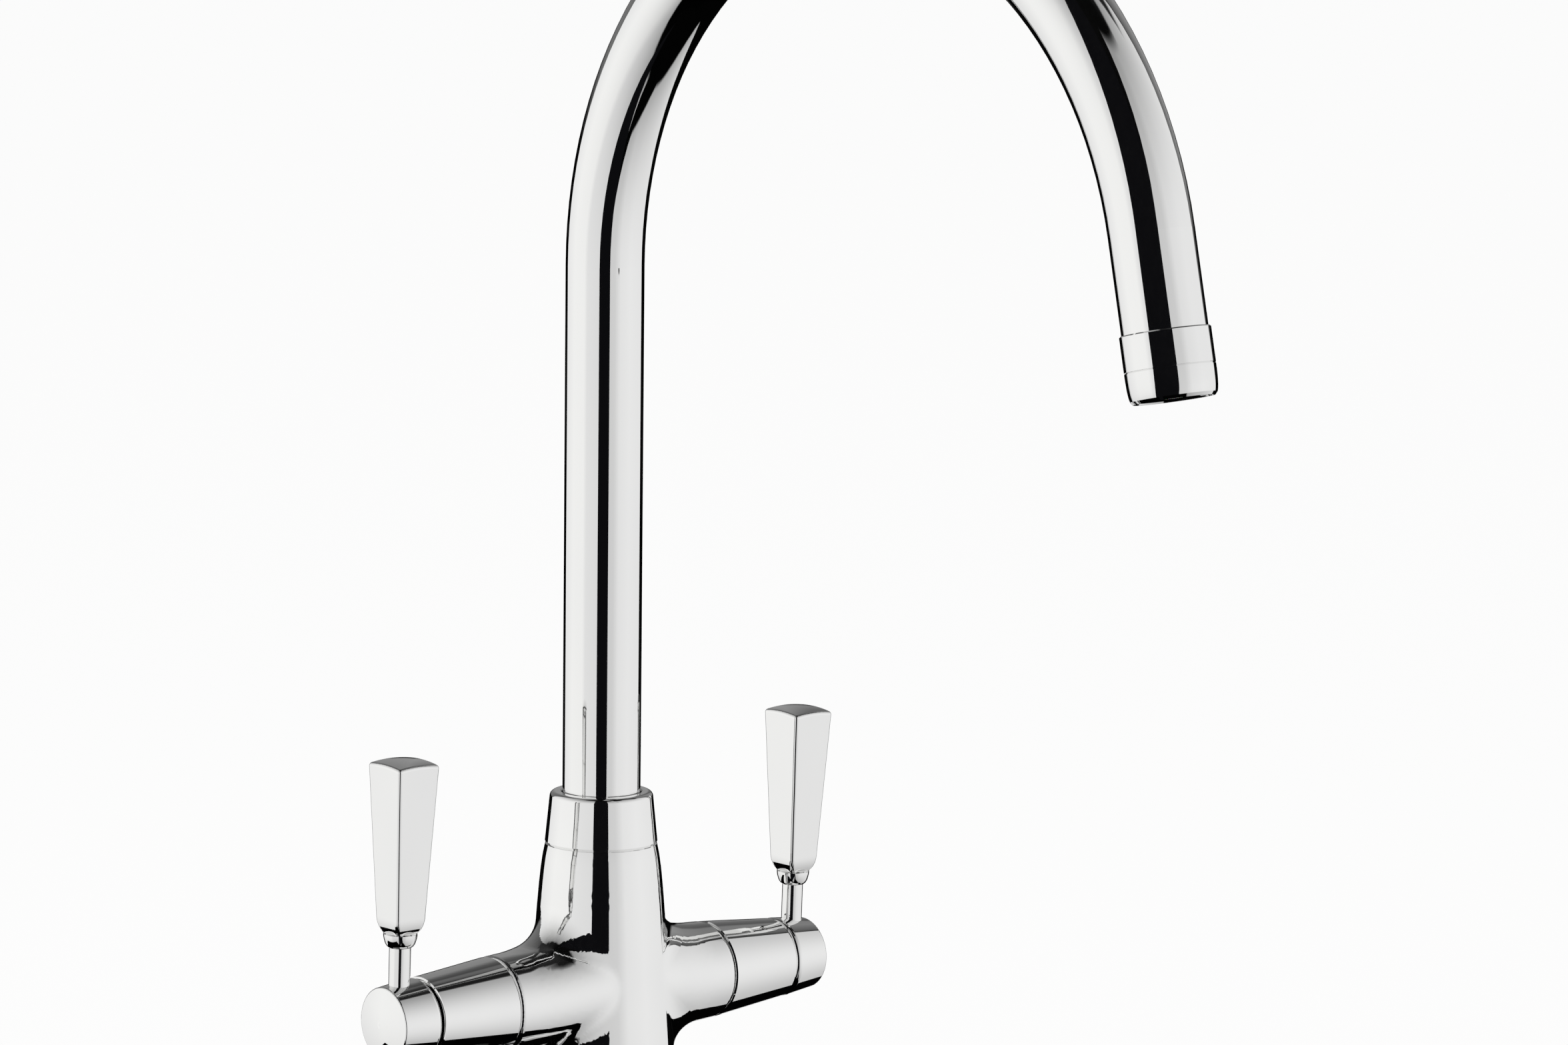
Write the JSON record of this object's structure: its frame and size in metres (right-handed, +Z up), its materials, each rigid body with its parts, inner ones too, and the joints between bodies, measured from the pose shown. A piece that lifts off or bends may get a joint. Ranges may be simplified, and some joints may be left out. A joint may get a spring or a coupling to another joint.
{
  "type": "two handle kitchen faucet",
  "caption": "Deck mounted kitchen faucet with a tall swan neck spout that swivels and two quarter turn levers with square tapered grips on horizontal arms.",
  "frame": {"origin": "middle of the underside of the base ring, on the deck", "axes": "+Z up along the column and the spout's swivel axis, -Y towards the user and under the spout's outlet, +X to the right, seen from the front, along the arms"},
  "size_m": [0.1582, 0.2584, 0.4313],
  "materials": {
    "polished_chrome": "polished",
    "technical_ceramic": "lapped",
    "bare_brass": "machined",
    "zinc_plated_steel": "zinc plated",
    "black_rubber": "moulded",
    "natural_plastic": "moulded"
  },
  "bodies": {
    "faucet_body": {"body_casting": "polished_chrome", "base_seal": "black_rubber", "fixing_stud": "zinc_plated_steel", "clamp_washer": "black_rubber", "clamp_plate": "zinc_plated_steel", "fixing_nut": "bare_brass", "spout_collar": "polished_chrome", "spout_glide_rings": "natural_plastic", "left_valve_bonnet": "bare_brass", "left_valve_seat_seal": "black_rubber", "left_fixed_disc": "technical_ceramic", "left_arm_shroud": "polished_chrome", "right_valve_bonnet": "bare_brass", "right_valve_seat_seal": "black_rubber", "right_fixed_disc": "technical_ceramic", "right_arm_shroud": "polished_chrome"},
    "spout": {"spout_tube": "polished_chrome", "spout_spigot": "bare_brass", "spout_seals": "black_rubber", "outlet_sleeve": "polished_chrome", "aerator_housing": "polished_chrome", "aerator_washer": "black_rubber", "aerator_insert": "natural_plastic"},
    "left_lever": {"left_valve_spindle": "bare_brass", "left_moving_disc": "technical_ceramic", "left_spindle_seal": "black_rubber", "left_lever_hub": "polished_chrome", "left_hub_screw": "zinc_plated_steel", "left_lever_stem": "polished_chrome", "left_lever_ferrule": "polished_chrome", "left_lever_grip": "polished_chrome"},
    "right_lever": {"right_valve_spindle": "bare_brass", "right_moving_disc": "technical_ceramic", "right_spindle_seal": "black_rubber", "right_lever_hub": "polished_chrome", "right_hub_screw": "zinc_plated_steel", "right_lever_stem": "polished_chrome", "right_lever_ferrule": "polished_chrome", "right_lever_grip": "polished_chrome"}
  },
  "joints": [
    {"name": "spout_swivel", "type": "hinge", "parent": "faucet_body", "child": "spout", "pos_m": [0, 0, 0.083], "axis": [0, 0, 1], "continuous": true},
    {"name": "left_lever_turn", "type": "hinge", "parent": "faucet_body", "child": "left_lever", "pos_m": [-0.06, 0, 0.046], "axis": [1, 0, 0], "range_deg": [0, 90]},
    {"name": "right_lever_turn", "type": "hinge", "parent": "faucet_body", "child": "right_lever", "pos_m": [0.06, 0, 0.046], "axis": [1, 0, 0], "range_deg": [0, 90]}
  ]
}
